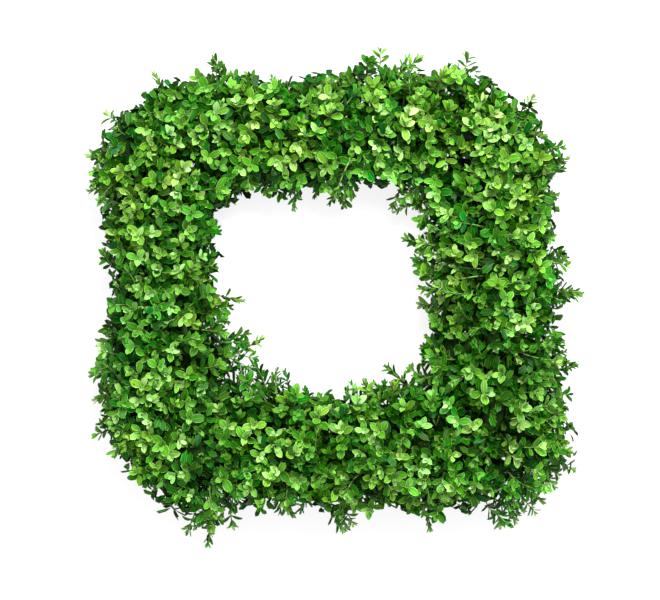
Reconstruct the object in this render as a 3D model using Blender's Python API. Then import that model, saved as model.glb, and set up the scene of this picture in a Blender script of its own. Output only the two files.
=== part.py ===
"""Square boxwood wreath, lying on its back with its face up.

A ring of twisted vine, bound with wire, carries bunches of boxwood in three rows: one leans out,
one stands on the crown and one leans into the hole. Each bunch is one solid: a stem that stands in
a socket of the vine, a dense heart of twigs, and shoots that end in crosses of four leaves.
The origin is on the surface that the wreath lies on, under the middle of the foliage.
"""

import math
import random

import bpy
from mathutils import Matrix, Vector
from mathutils.bvhtree import BVHTree

MM = 0.001
SEED = 11
UP = Vector((0, 0, 1))

# The vine ring. Its centre line is a rectangle with round corners.
RING_CENTRE = Vector((-6.5 * MM, 5.5 * MM, 14 * MM))
RING_HALF_X = 187 * MM
RING_HALF_Y = 179 * MM
RING_CORNER = 50 * MM
STRAIGHTS = (2 * (RING_HALF_Y - RING_CORNER), 2 * (RING_HALF_X - RING_CORNER)) * 2
VINE_CREST = 16 * MM
VINE_VALLEY = 13.2 * MM
VINE_STRANDS = 5
VINE_TURNS = 3

# The slab that cuts the vine's flat spots. It is wider than the ring and deeper than the vine dips.
SLAB_HALF = 300 * MM
SLAB_DEPTH = 20 * MM

# The wire pinches the vine at two places on each side, and runs along its shoulder in between.
BINDING_SHARES = (0.25, 0.75)
WAIST_RADIUS = 10.8 * MM
WAIST_FLAT = 3 * MM
WAIST_RUN = 10 * MM
CORNER_SHARES = (0.25, 0.5, 0.75)
WIRE_RADIUS = 0.8 * MM
WIRE_SIDES = 3
WIRE_LOOP_POINTS = 8
WIRE_LEAD = 4 * MM
WIRE_SHOULDER = math.radians(119)

# The stems, which stand in sockets of the vine.
CLEARANCE = 0.35 * MM
STEM_SIDES = 4
STEM_RADIUS = 2.6 * MM
SOCKET_FLOOR = 8 * MM

# The edge of the foliage seen from above, as x and y in mm, anticlockwise. It and the ring's centre
# are measured from one point near the middle, and `centre` moves the finished wreath.
OUTER_EDGE = [
    (279, 0), (262, -34), (274, -80), (270, -128), (270, -180), (246, -232), (192, -258), (150, -246),
    (108, -256), (60, -240), (16, -260), (-38, -240), (-94, -248), (-142, -278), (-192, -244),
    (-242, -202), (-268, -150), (-270, -90), (-254, -32), (-256, 30), (-262, 74), (-278, 128),
    (-274, 162), (-250, 204), (-206, 248), (-132, 264), (-80, 252), (-10, 250), (22, 264), (54, 279),
    (104, 262), (152, 270), (206, 232), (250, 192), (266, 152), (256, 102), (262, 62),
]
INNER_EDGE = [
    (103, 6), (94, 50), (92, 96), (74, 118), (44, 124), (14, 104), (-24, 118), (-44, 102), (-80, 110),
    (-112, 112), (-132, 90), (-134, 36), (-128, -4), (-108, -12), (-92, -48), (-84, -74), (-38, -102),
    (-2, -114), (22, -98), (44, -100), (80, -94), (96, -56), (104, -26),
]
EDGE_FURTHEST = 100 * MM
FOLIAGE_TOP = 106 * MM
FLOOR_GAP = 0.8 * MM

# A row of bunches stands on a line parallel to the vine's centre line, at shares of each straight
# and of each corner. Sizes are in mm. `heart` is the middle's distance from the centre line, its
# height, and its half length, width and height. A shoot ends at a share of the heart's half length,
# a distance and a height. The distance is in from the foliage's edge, or out from the centre line in
# the crown's row, which has no edge.
ROWS = {
    "outer": {
        "line": 35,
        "on_side": (1 / 6, 1 / 2, 5 / 6),
        "in_corner": (1 / 4, 3 / 4),
        "edge": OUTER_EDGE,
        "heart": (35, 37, 38, 17.5, 28),
        "shoots": [(-0.7, 11, 26), (0.65, 9, 40), (-0.5, 24, 70), (0.6, 32, 81)],
    },
    "crown": {
        "line": 0,
        "on_side": (0, 1 / 3, 2 / 3, 1),
        "in_corner": (),
        "edge": None,
        "heart": (0, 60, 38, 17, 21),
        "shoots": [(-0.75, -14, 88), (0.05, 14, 92), (0.75, -12, 88)],
    },
    "inner": {
        "line": -35,
        "on_side": (0.2, 0.5, 0.8),
        "in_corner": (),
        "edge": INNER_EDGE,
        "heart": (35, 37, 36, 17.5, 28),
        "shoots": [(-0.6, 11, 26), (0.6, 9, 40), (-0.5, 26, 72), (0.55, 34, 81)],
    },
    "corner": {
        "line": -35,
        "on_side": (),
        "in_corner": (1 / 2,),
        "edge": INNER_EDGE,
        "heart": (56, 37, 20, 24, 28),
        "shoots": [(-0.9, 18, 30), (0.9, 18, 34), (0.0, 12, 52), (-0.7, 34, 78), (0.6, 52, 84)],
    },
}
HEART_SCALES = (1, 0.94, 0.88, 0.82, 0.76, 0.7)
HEART_RINGS = ((-0.8, 0.78), (0, 1), (0.8, 0.78))
HEART_SIDES = 6
HEART_LUMPS = 0.08
HEART_GAP = 1 * MM

# A cross of leaves at the end of a shoot, drawn about twice life size so that they cover the bunch.
LEAF_LENGTH = 35 * MM
LEAF_WIDTH = 21 * MM
LEAF_SHOULDER = 0.58
LEAF_TIP = 0.94
LEAF_TIP_WIDTH = 0.5
LEAF_BULGE = 1.5 * MM
LEAF_DROOP = 3.5 * MM
LEAF_ROOT = 2.6 * MM
LEAF_SPREAD = (52, 74)
LEAF_SIZES = (0.9, 1.05)
LEAF_TRIALS = ((1, 0), (1, 14), (1, -14), (0.9, 26), (0.9, -26), (0.75, 0), (0.75, 20), (0.75, -20))
LEAF_GAP = 0.4 * MM

# A shoot points away from its anchor, whose distance and height are in mm, starts at a share of its
# own offset along the heart, and strays from its place by up to SHOOT_STRAY.
SHOOT_HALF = 1.7 * MM
SHOOT_ANCHOR = (10, 18)
SHOOT_GATHER = 0.6
SHOOT_STRAY = 4 * MM


def loop_frame(distance, line=0.0):
    """Centre-line point, direction along and direction out, at a distance along the parallel line
    that lies `line` further out. It starts at the foot of the right side and runs anticlockwise."""
    corner = RING_CORNER + line
    arc = corner * math.pi / 2
    along = Vector((0, 1, 0))
    out = Vector((1, 0, 0))
    point = RING_CENTRE + Vector((RING_HALF_X, RING_CORNER - RING_HALF_Y, 0))
    quarter = Matrix.Rotation(math.pi / 2, 3, "Z")
    rest = distance % loop_length(line)
    for straight in STRAIGHTS:
        if rest < straight:
            break
        point = point + along * straight
        rest -= straight
        if rest < arc:
            turn = Matrix.Rotation(rest / corner, 3, "Z")
            return point + (turn @ out - out) * RING_CORNER, turn @ along, turn @ out
        point += (quarter @ out - out) * RING_CORNER
        rest -= arc
        along = quarter @ along
        out = quarter @ out
    return point + along * rest, along, out


def loop_length(line=0.0):
    """Length of the parallel line that lies `line` further out than the ring's centre line."""
    return sum(STRAIGHTS) + 2 * math.pi * (RING_CORNER + line)


def stands(line, on_side, in_corner):
    """Distances along a parallel line, at shares of each straight and of each corner."""
    arc = (RING_CORNER + line) * math.pi / 2
    start = 0
    found = []
    for straight in STRAIGHTS:
        found += [start + share * straight for share in on_side]
        found += [start + straight + share * arc for share in in_corner]
        start += straight + arc
    return found


def edge_distance(point, direction, edge):
    """How far the foliage's edge is from a point, seen from above, in a level direction."""
    found = [EDGE_FURTHEST]
    for i, (x, y) in enumerate(edge):
        first = Vector((x, y)) * MM
        side = Vector(edge[i - 1]) * MM - first
        across = direction.xy.cross(side)
        if abs(across) < 1e-9:
            continue
        gap = first - point.xy
        reach = gap.cross(side) / across
        if reach > 0 and 0 <= gap.cross(direction.xy) / across <= 1:
            found.append(reach)
    return min(found)


def inside(point, edge):
    """Whether a point lies inside an edge, seen from above, by counting the sides to its right."""
    crossed = 0
    for i, (x, y) in enumerate(edge):
        x2, y2 = edge[i - 1]
        low, high = (y * MM > point.y), (y2 * MM > point.y)
        if low != high and point.x < ((x2 - x) * (point.y / MM - y) / (y2 - y) + x) * MM:
            crossed += 1
    return crossed % 2 == 1


def new_object(name, points, faces, material=None):
    mesh = bpy.data.meshes.new(name)
    mesh.from_pydata([tuple(p) for p in points], [], faces)
    if material:
        mesh.materials.append(material)
    made = bpy.data.objects.new(name, mesh)
    bpy.context.scene.collection.objects.link(made)
    return made


def new_material(name, colour, roughness, metallic=0.0):
    material = bpy.data.materials.new(name)
    material.use_nodes = True
    shader = material.node_tree.nodes["Principled BSDF"]
    shader.inputs["Base Color"].default_value = (*colour, 1)
    shader.inputs["Roughness"].default_value = roughness
    shader.inputs["Metallic"].default_value = metallic
    return material


def combine(target, tools, operation):
    """Joins the tools to the target, or cuts them from it, and removes them."""
    group = bpy.data.collections.new(target.name + "_tools")
    bpy.context.scene.collection.children.link(group)
    for tool in tools:
        bpy.context.scene.collection.objects.unlink(tool)
        group.objects.link(tool)
    boolean = target.modifiers.new("combine", "BOOLEAN")
    boolean.operation = operation
    boolean.operand_type = "COLLECTION"
    boolean.collection = group
    boolean.solver = "EXACT"
    bpy.context.view_layer.update()
    graph = bpy.context.evaluated_depsgraph_get()
    result = bpy.data.meshes.new_from_object(target.evaluated_get(graph))
    target.modifiers.clear()
    target.data = result
    for tool in tools:
        bpy.data.objects.remove(tool)
    bpy.data.collections.remove(group)


def tube_faces(sides, rings, closed=False):
    """Faces of a stack of rings, joined end to end or with flat ends."""
    faces = []
    count = sides * rings
    for ring in range(rings if closed else rings - 1):
        for i in range(sides):
            a = ring * sides + i
            b = ring * sides + (i + 1) % sides
            faces.append((a, b, (b + sides) % count, (a + sides) % count))
    if not closed:
        faces.append(tuple(range(sides - 1, -1, -1)))
        faces.append(tuple(range(count - sides, count)))
    return faces


def ring_of(centre, first, second, radius, sides, start=0.0):
    """Points on a circle round a centre, from the first direction towards the second."""
    points = []
    for i in range(sides):
        angle = start + 2 * math.pi * i / sides
        points.append(centre + (first * math.cos(angle) + second * math.sin(angle)) * radius)
    return points


def side_pair(axis):
    """Two directions square to an axis and to each other, right-handed with it."""
    first = axis.cross(UP if abs(axis.z) < 0.9 else Vector((1, 0, 0))).normalized()
    return first, axis.cross(first).normalized()


def vine_stops():
    """Distances and radii of the vine's rings. A ring with no radius has the twisted section."""
    arc = RING_CORNER * math.pi / 2
    stops = []
    start = 0
    for straight in STRAIGHTS:
        run_start = start
        for share in BINDING_SHARES:
            binding = start + share * straight
            run_end = binding - WAIST_RUN
            stops += [(run_start, None), ((run_start + run_end) / 2, None), (run_end, None)]
            stops += [(binding - WAIST_FLAT, WAIST_RADIUS), (binding + WAIST_FLAT, WAIST_RADIUS)]
            run_start = binding + WAIST_RUN
        corner = start + straight
        stops += [(run_start, None), (corner, None)]
        stops += [(corner + share * arc, None) for share in CORNER_SHARES]
        start = corner + arc
    return stops


def vine_ring(material):
    """The twisted vine: a star of strands, turned along the ring and pinched at each binding."""
    sides = 2 * VINE_STRANDS
    points = []
    for distance, waist in vine_stops():
        centre, _, out = loop_frame(distance)
        turned = 2 * math.pi * VINE_TURNS * distance / loop_length()
        for i in range(sides):
            angle = turned + math.pi * i / VINE_STRANDS
            radius = waist or (VINE_VALLEY if i % 2 else VINE_CREST)
            points.append(centre + (out * math.cos(angle) + UP * math.sin(angle)) * radius)
    faces = [face[::-1] for face in tube_faces(sides, len(points) // sides, closed=True)]
    return new_object("vine_ring", points, faces, material)


def floor_cutter():
    """A slab below the surface that the wreath lies on, which gives the vine its flat spots."""
    half = SLAB_HALF
    corners = [(-half, -half), (half, -half), (half, half), (-half, half)]
    points = [Vector((x, y, z)) for z in (-SLAB_DEPTH, 0) for x, y in corners]
    return new_object("floor_cutter", points, tube_faces(4, 2))


def wire_route():
    """The wire's stations: distance along the vine, angle round it and distance from its middle."""
    loop_radius = (WAIST_RADIUS + CLEARANCE + WIRE_RADIUS) / math.cos(math.pi / WIRE_LOOP_POINTS)
    run_radius = VINE_CREST + CLEARANCE + WIRE_RADIUS
    arc = RING_CORNER * math.pi / 2
    route = []
    start = 0
    for straight in STRAIGHTS:
        for share in BINDING_SHARES:
            binding = start + share * straight
            route.append((binding - WAIST_RUN, WIRE_SHOULDER, run_radius))
            for k in range(WIRE_LOOP_POINTS + 1):
                turn = k / WIRE_LOOP_POINTS
                angle = WIRE_SHOULDER + 2 * math.pi * turn
                route.append((binding + (turn - 0.5) * WIRE_LEAD, angle, loop_radius))
            route.append((binding + WAIST_RUN, WIRE_SHOULDER, run_radius))
        corner = start + straight
        route += [(corner + share * arc, WIRE_SHOULDER, run_radius) for share in (0, *CORNER_SHARES, 1)]
        start = corner + arc
    return route


def binding_wire(material):
    """One wire that goes once round the vine at each binding, and along its shoulder in between."""
    centres = []
    aways = []
    for distance, angle, radius in wire_route():
        centre, _, out = loop_frame(distance)
        aways.append(out * math.cos(angle) + UP * math.sin(angle))
        centres.append(centre + aways[-1] * radius)
    points = []
    for i, centre in enumerate(centres):
        along = (centres[(i + 1) % len(centres)] - centres[i - 1]).normalized()
        across = along.cross(aways[i]).normalized()
        points += ring_of(centre, across.cross(along), across, WIRE_RADIUS, WIRE_SIDES)
    return new_object("binding_wire", points, tube_faces(WIRE_SIDES, len(centres), closed=True), material)


def plan_bunches():
    """Where each bunch stands, row by row, with its heart's sizes in metres."""
    plans = []
    for row, rule in ROWS.items():
        line = rule["line"] * MM
        for i, distance in enumerate(stands(line, rule["on_side"], rule["in_corner"])):
            plans.append({
                "name": f"bunch_{row}_{i + 1:02d}",
                "rule": rule,
                "line": line,
                "distance": distance,
                "away": -1 if line < 0 else 1,
                "hand": 1 if i % 2 else -1,
                "heart": [size * MM for size in rule["heart"]],
                "shells": [],
            })
    return plans


def place(plan, offset, away, height):
    """A point of a bunch: an offset along its row, a distance from the vine's centre line towards the
    row's side, and a height above the surface. Rows outside the centre line follow its corners."""
    bend = offset if plan["line"] >= 0 else 0
    centre, along, out = loop_frame(plan["distance"] + bend, plan["line"])
    level = centre + along * (offset - bend) + out * plan["away"] * away
    return Vector((level.x, level.y, height))


def heart_solid(plan, gap, draw):
    """The dense middle of a bunch: a lumpy bolster along the vine, with a gap round it or without."""
    away, height, half_length, half_width, half_height = plan["heart"]
    points = []
    for share, width in HEART_RINGS:
        for i in range(HEART_SIDES):
            angle = 2 * math.pi * i / HEART_SIDES
            lump = width * (1 + draw.uniform(-HEART_LUMPS, HEART_LUMPS))
            across = away + math.cos(angle) * (half_width * lump + gap)
            up = height + math.sin(angle) * (half_height * lump + gap)
            points.append(place(plan, share * (half_length + gap), across, up))
    faces = tube_faces(HEART_SIDES, len(HEART_RINGS))[:-2]
    last = len(points)
    for tip, first, step in ((-1, 0, -1), (1, last - HEART_SIDES, 1)):
        points.append(place(plan, tip * (half_length + gap), away, height))
        ring = [first + i for i in range(HEART_SIDES)][::step]
        faces += [(len(points) - 1, ring[i - 1], ring[i]) for i in range(HEART_SIDES)]
    if plan["away"] > 0:
        faces = [face[::-1] for face in faces]
    return points, faces


def stem_solid(plan, radius, floor):
    """The stem, from its socket in the vine into the heart."""
    away, height = plan["heart"][:2]
    foot = place(plan, 0, 0, RING_CENTRE.z)
    heart = place(plan, 0, away, height)
    axis = (heart - foot).normalized()
    first, second = side_pair(axis)
    points = ring_of(foot + axis * floor, first, second, radius, STEM_SIDES)
    points += ring_of(heart, first, second, radius, STEM_SIDES)
    return points, tube_faces(STEM_SIDES, 2)


def solid_of(thing):
    points = [vertex.co.copy() for vertex in thing.data.vertices]
    return points, [tuple(face.vertices) for face in thing.data.polygons]


def crowd_of(solids):
    """One search tree of all the faces in a list of (points, faces)."""
    points = []
    faces = []
    for solid_points, solid_faces in solids:
        first = len(points)
        points += solid_points
        faces += [tuple(first + i for i in face) for face in solid_faces]
    return BVHTree.FromPolygons(points, faces)


def crosses(solid, crowd):
    return bool(BVHTree.FromPolygons(*solid).overlap(crowd))


def leaf_shape(root, outward, sideways, axis, size, spread):
    """A leaf's free points: two shoulders, two tip corners, and the middle of its raised top."""
    run = outward * math.sin(spread) + axis * math.cos(spread)
    rise = axis * math.sin(spread) - outward * math.cos(spread)
    half = sideways * LEAF_WIDTH * size / 2
    shoulder = root + run * LEAF_LENGTH * size * LEAF_SHOULDER
    tip = root + run * LEAF_LENGTH * size * LEAF_TIP - rise * LEAF_DROOP * size
    half_tip = half * LEAF_TIP_WIDTH
    middle = shoulder + rise * LEAF_BULGE
    return [shoulder - half, shoulder + half, tip + half_tip, tip - half_tip, middle]


def leaf_shell(leaf, roots, axis):
    """A closed shell a little larger than a leaf, for testing that the leaf is clear of others. The
    roots are its two top corners and two bottom corners, left ones first."""
    left, right, tip_right, tip_left, middle = leaf
    top_left, top_right, low_left, low_right = roots
    side = (right - left).normalized() * LEAF_GAP
    run = (middle - top_left).normalized() * LEAF_GAP
    rise = axis * LEAF_GAP
    rim = [left - side, tip_left - side + run, tip_right + side + run, right + side]
    top = [top_left - side + rise, *rim, top_right + side + rise]
    points = [*top, low_left - side - rise, low_right + side - rise]
    points += [middle + rise, middle - rise - axis * LEAF_BULGE]
    faces = [(n, (n + 1) % 6, 8) for n in range(6)]
    faces += [(2, 1, 9), (3, 2, 9), (4, 3, 9), (1, 6, 9), (6, 7, 9), (7, 4, 9)]
    faces += [(0, 6, 1), (5, 4, 7), (0, 5, 7, 6)]
    return points, faces


def out_of_bounds(points):
    """Whether a leaf leaves the wreath's form: above, below or beyond the foliage's edges."""
    for point in points:
        if not FLOOR_GAP < point.z < FOLIAGE_TOP:
            return True
        if not inside(point, OUTER_EDGE) or inside(point, INNER_EDGE):
            return True
    return False


def clear_leaf(roots, end, axis, draw, crowd):
    """A leaf and its shell, bent or made smaller until it is clear, or nothing if it never is."""
    outward = ((roots[0] + roots[1]) / 2 - end).normalized()
    sideways = (roots[1] - roots[0]).normalized()
    root = (roots[0] + roots[1]) / 2
    spread = draw.uniform(*LEAF_SPREAD)
    size = draw.uniform(*LEAF_SIZES)
    for share, bend in LEAF_TRIALS:
        leaf = leaf_shape(root, outward, sideways, axis, size * share, math.radians(spread + bend))
        shell = leaf_shell(leaf, roots, axis)
        if not out_of_bounds(leaf) and not crosses(shell, crowd):
            return leaf, shell
    return None


def leaf_faces(roots, first):
    """A leaf's faces: its top as a fan round the raised middle, its edges and its underside. The
    roots are its top left, top right, bottom left and bottom right corners."""
    top_left, top_right, low_left, low_right = roots
    left, right, tip_right, tip_left, middle = range(first, first + 5)
    rim = [top_left, left, tip_left, tip_right, right, top_right]
    faces = [(rim[n], rim[(n + 1) % 6], middle) for n in range(6)]
    faces += [(low_left, left, top_left), (low_right, top_right, right)]
    faces += [(low_left, low_right, right), (low_left, right, left)]
    faces += [(left, right, tip_right), (left, tip_right, tip_left)]
    return faces


def leafy_shoot(start, end, draw, crowd):
    """A square shoot with a cross of four leaves drawn out of its four sides, and their shells."""
    axis = (end - start).normalized()
    first, second = side_pair(axis)
    spin = draw.uniform(0, math.pi / 2)
    half = SHOOT_HALF * math.sqrt(2)
    room = ring_of(start, first, second, half + LEAF_GAP, 4, spin)
    room += ring_of(end + axis * LEAF_GAP, first, second, half + LEAF_GAP, 4, spin)
    if crosses((room, tube_faces(4, 2)), crowd):
        return None, []
    points = []
    for centre in (start, end - axis * LEAF_ROOT, end):
        points += ring_of(centre, first, second, half, 4, spin)
    faces = [(3, 2, 1, 0), (8, 9, 10, 11)]
    shells = []
    for i in range(4):
        j = (i + 1) % 4
        faces.append((i, j, 4 + j, 4 + i))
        roots = (8 + i, 8 + j, 4 + i, 4 + j)
        found = clear_leaf([points[k] for k in roots], end, axis, draw, crowd)
        if found:
            faces += leaf_faces(roots, len(points))
            points += found[0]
            shells.append(found[1])
        else:
            faces.append((4 + i, 4 + j, 8 + j, 8 + i))
    return (points, faces), shells


def shoot_ends(plan, shoot, draw):
    """Start and end of a shoot: from inside the heart to the middle of its cross of leaves."""
    share, distance, height = shoot
    away, heart_height, half_length = plan["heart"][:3]
    offset = plan["hand"] * share * half_length + draw.uniform(-SHOOT_STRAY, SHOOT_STRAY)
    reach = plan["hand"] * distance * MM
    if plan["rule"]["edge"]:
        base = place(plan, offset, 0, 0)
        side = place(plan, offset, away, 0) - base
        reach = edge_distance(base, side.normalized(), plan["rule"]["edge"]) - distance * MM
    end = place(plan, offset, reach, height * MM + draw.uniform(-SHOOT_STRAY, SHOOT_STRAY))
    root_offset = offset * SHOOT_GATHER
    anchor = place(plan, root_offset, SHOOT_ANCHOR[0] * MM, SHOOT_ANCHOR[1] * MM)
    heart = place(plan, root_offset, away, heart_height)
    back = (anchor - end).normalized()
    nearest = end + back * (heart - end).dot(back)
    return (nearest + heart) / 2, end


def grow_hearts(plans, fixed, draw):
    """Gives each bunch its heart, as large as fits, and its stem."""
    placed = list(fixed)
    for plan in plans:
        crowd = crowd_of(placed)
        full = plan["heart"][2:]
        for scale in HEART_SCALES:
            plan["heart"][2:] = [size * scale for size in full]
            if not crosses(heart_solid(plan, HEART_GAP, draw), crowd):
                break
        plan["solids"] = [heart_solid(plan, 0, draw), stem_solid(plan, STEM_RADIUS, SOCKET_FLOOR)]
        placed += plan["solids"]


def grow_shoots(plans, fixed, draw):
    """Gives each bunch its shoots, one at a time in turn, each clear of all that has grown so far."""
    for turn in range(max(len(rule["shoots"]) for rule in ROWS.values())):
        for plan in plans:
            if turn >= len(plan["rule"]["shoots"]):
                continue
            start, end = shoot_ends(plan, plan["rule"]["shoots"][turn], draw)
            taken = fixed + [shell for other in plans for shell in other["shells"]]
            taken += [solid for other in plans if other is not plan for solid in other["solids"]]
            shoot, shells = leafy_shoot(start, end, draw, crowd_of(taken))
            if shells:
                plan["solids"].append(shoot)
                plan["shells"] += shells


def centre(things):
    """Puts the origin under the middle of the box round everything, on the surface it lies on."""
    points = [vertex.co for thing in things for vertex in thing.data.vertices]
    lows = [min(point[axis] for point in points) for axis in range(2)]
    highs = [max(point[axis] for point in points) for axis in range(2)]
    shift = Vector((-(lows[0] + highs[0]) / 2, -(lows[1] + highs[1]) / 2, 0))
    for thing in things:
        thing.data.transform(Matrix.Translation(shift))


def build():
    for old in list(bpy.data.objects):
        bpy.data.objects.remove(old)
    draw = random.Random(SEED)
    ring = vine_ring(new_material("vine_bark", (0.09, 0.05, 0.035), 0.85))
    wire = binding_wire(new_material("dark_wire", (0.03, 0.05, 0.03), 0.45, 0.6))
    leaf_green = new_material("leaf_green", (0.12, 0.35, 0.04), 0.4)
    plans = plan_bunches()
    grow_hearts(plans, [solid_of(wire)], draw)
    grow_shoots(plans, [solid_of(ring), solid_of(wire)], draw)

    cutters = [floor_cutter()]
    for plan in plans:
        socket = stem_solid(plan, STEM_RADIUS + CLEARANCE * math.sqrt(2), SOCKET_FLOOR - CLEARANCE)
        cutters.append(new_object(plan["name"] + "_socket", *socket))
    combine(ring, cutters, "DIFFERENCE")
    things = [ring, wire]
    for plan in plans:
        bunch = new_object(plan["name"], *plan["solids"][0], leaf_green)
        parts = [new_object(plan["name"] + "_part", *solid) for solid in plan["solids"][1:]]
        combine(bunch, parts, "UNION")
        things.append(bunch)
    centre(things)


build()
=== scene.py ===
# %% [markdown]
# A square boxwood wreath, in cells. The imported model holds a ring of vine, a binding wire and 52
# bunches of foliage whose leaves are few and large. Each cell below dresses one of these in what
# the real thing has: strands and bark on the vine, paint on the wire, and thousands of small waxy
# leaves in crossed pairs on thin green shoots. Every surface is worked out with numpy as whole
# arrays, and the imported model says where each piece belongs.

import math

import bpy
import numpy as np
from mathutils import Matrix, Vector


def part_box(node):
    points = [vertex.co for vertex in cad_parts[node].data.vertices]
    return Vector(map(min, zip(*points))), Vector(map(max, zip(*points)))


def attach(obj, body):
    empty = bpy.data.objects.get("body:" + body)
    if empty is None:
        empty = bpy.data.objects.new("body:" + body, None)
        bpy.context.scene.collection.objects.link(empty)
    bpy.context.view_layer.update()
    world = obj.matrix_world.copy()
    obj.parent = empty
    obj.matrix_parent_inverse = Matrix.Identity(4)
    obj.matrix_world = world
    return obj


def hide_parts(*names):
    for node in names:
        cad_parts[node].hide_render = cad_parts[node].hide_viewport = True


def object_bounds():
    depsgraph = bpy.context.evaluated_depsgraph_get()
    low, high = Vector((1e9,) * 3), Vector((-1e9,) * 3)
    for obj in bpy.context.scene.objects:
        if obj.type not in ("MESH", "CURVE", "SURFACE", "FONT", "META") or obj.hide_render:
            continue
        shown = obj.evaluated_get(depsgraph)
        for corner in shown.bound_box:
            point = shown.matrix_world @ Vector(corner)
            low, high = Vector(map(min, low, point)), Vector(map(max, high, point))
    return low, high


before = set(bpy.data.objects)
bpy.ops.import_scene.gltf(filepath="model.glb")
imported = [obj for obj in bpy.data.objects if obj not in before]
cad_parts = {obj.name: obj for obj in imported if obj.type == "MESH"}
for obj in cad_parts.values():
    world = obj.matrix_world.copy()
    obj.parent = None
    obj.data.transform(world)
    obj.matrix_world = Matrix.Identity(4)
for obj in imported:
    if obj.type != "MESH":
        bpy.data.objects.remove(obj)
CAD_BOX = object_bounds()
MM = 0.001
UP = np.array((0.0, 0.0, 1.0))
BUNCHES = sorted(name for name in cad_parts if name.startswith("bunch_"))
print(len(BUNCHES), "bunches, box in metres", [[round(n, 4) for n in corner] for corner in CAD_BOX])

# %% [markdown]
# The camera looks straight down. One pixel of a picture 660 wide is 1.125 mm of foliage, so the
# view is 742.5 mm wide at the height where the wreath is widest. A long lens from two metres keeps
# its sides nearly upright, as a photographer on a ladder would.

# %% The camera
VIEW_WIDTH = 742.5 * MM
VIEW_CENTRE = (-1.9 * MM, -8.8 * MM)
FOCUS_HEIGHT = 40 * MM
CAMERA_HEIGHT = 2000 * MM
SENSOR_MM = 36
FURTHEST_SEEN = 20.0

camera = bpy.data.objects.new("camera", bpy.data.cameras.new("camera"))
camera.data.sensor_width = SENSOR_MM
camera.data.lens = SENSOR_MM * (CAMERA_HEIGHT - FOCUS_HEIGHT) / VIEW_WIDTH
camera.data.clip_end = FURTHEST_SEEN
camera.location = (*VIEW_CENTRE, CAMERA_HEIGHT)
bpy.context.scene.collection.objects.link(camera)
bpy.context.scene.camera = camera
bpy.context.scene.view_settings.view_transform = "Standard"
print("lens", round(camera.data.lens, 1), "mm")

# %% [markdown]
# The wreath lies on a plain white light table. A soft lamp hangs near it, beyond the upper right of the
# picture, and gives the upper leaves their sheen. The table's own glow is most of its light, so that
# the wreath's shadow is a faint grey and only shows in the hole, below its upper side. Table and lamp
# together come to a little over full white, not far over it, or else a stem narrower than a pixel
# would drown in the glare.

# %% The light
KEY_FROM = (0.3, 0.85, 1.25)
KEY_SIZE = 0.65
KEY_WATTS = 56
FILL_STRENGTH = 1.2


def aimed(lamp, place, target=(0, 0, 0)):
    """Puts a lamp at a place and turns its -Z towards a target."""
    away = np.array(place, float) - np.array(target, float)
    flat = math.hypot(away[0], away[1])
    lamp.location = place
    lamp.rotation_euler = (math.atan2(flat, away[2]), 0, math.atan2(away[1], away[0]) + math.pi / 2)


key = bpy.data.objects.new("key_lamp", bpy.data.lights.new("key_lamp", "AREA"))
key.data.energy = KEY_WATTS
key.data.shape = "SQUARE"
key.data.size = KEY_SIZE
aimed(key, KEY_FROM)
bpy.context.scene.collection.objects.link(key)

sky = bpy.data.worlds.new("studio")
sky.use_nodes = True
sky.node_tree.nodes["Background"].inputs["Color"].default_value = (1, 1, 1, 1)
sky.node_tree.nodes["Background"].inputs["Strength"].default_value = FILL_STRENGTH
bpy.context.scene.world = sky
print("key lamp", KEY_WATTS, "W")

# %% [markdown]
# Materials come next. Colours are written as a picture editor shows them, in sRGB hex, and one
# function turns them to the linear values that Blender wants. One more function adds a node with its
# settings and with what each of its sockets holds or is fed by. It serves for every kind of node.

# %% Helpers for materials


def linear(code):
    """A hex colour as linear values with alpha 1: c / 12.92, or ((c + 0.055) / 1.055) ** 2.4."""
    parts = [int(code[i:i + 2], 16) / 255 for i in (1, 3, 5)]
    return (*(c / 12.92 if c <= 0.04045 else ((c + 0.055) / 1.055) ** 2.4 for c in parts), 1)


def add(tree, kind, settings=None, sockets=None, stops=()):
    """Adds a node: its settings, a value or a source for each socket, and a ramp's (place, hex) stops."""
    node = tree.nodes.new(kind)
    for name, value in (settings or {}).items():
        setattr(node, name, value)
    for name, source in (sockets or {}).items():
        if isinstance(source, bpy.types.NodeSocket):
            tree.links.new(source, node.inputs[name])
        else:
            node.inputs[name].default_value = source
    for _ in stops[2:]:
        node.color_ramp.elements.new(0.5)
    for number, (place, code) in enumerate(stops):
        node.color_ramp.elements[number].position = place
        node.color_ramp.elements[number].color = linear(code)
    return node.outputs


def plain_material(name, values):
    """A new material, its tree and its Principled shader, with the shader's own sockets set."""
    material = bpy.data.materials.new(name)
    material.use_nodes = True
    shader = material.node_tree.nodes["Principled BSDF"]
    for socket, value in values.items():
        shader.inputs[socket].default_value = value
    return material, material.node_tree, shader


print("white is", linear("#ffffff"))
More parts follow.
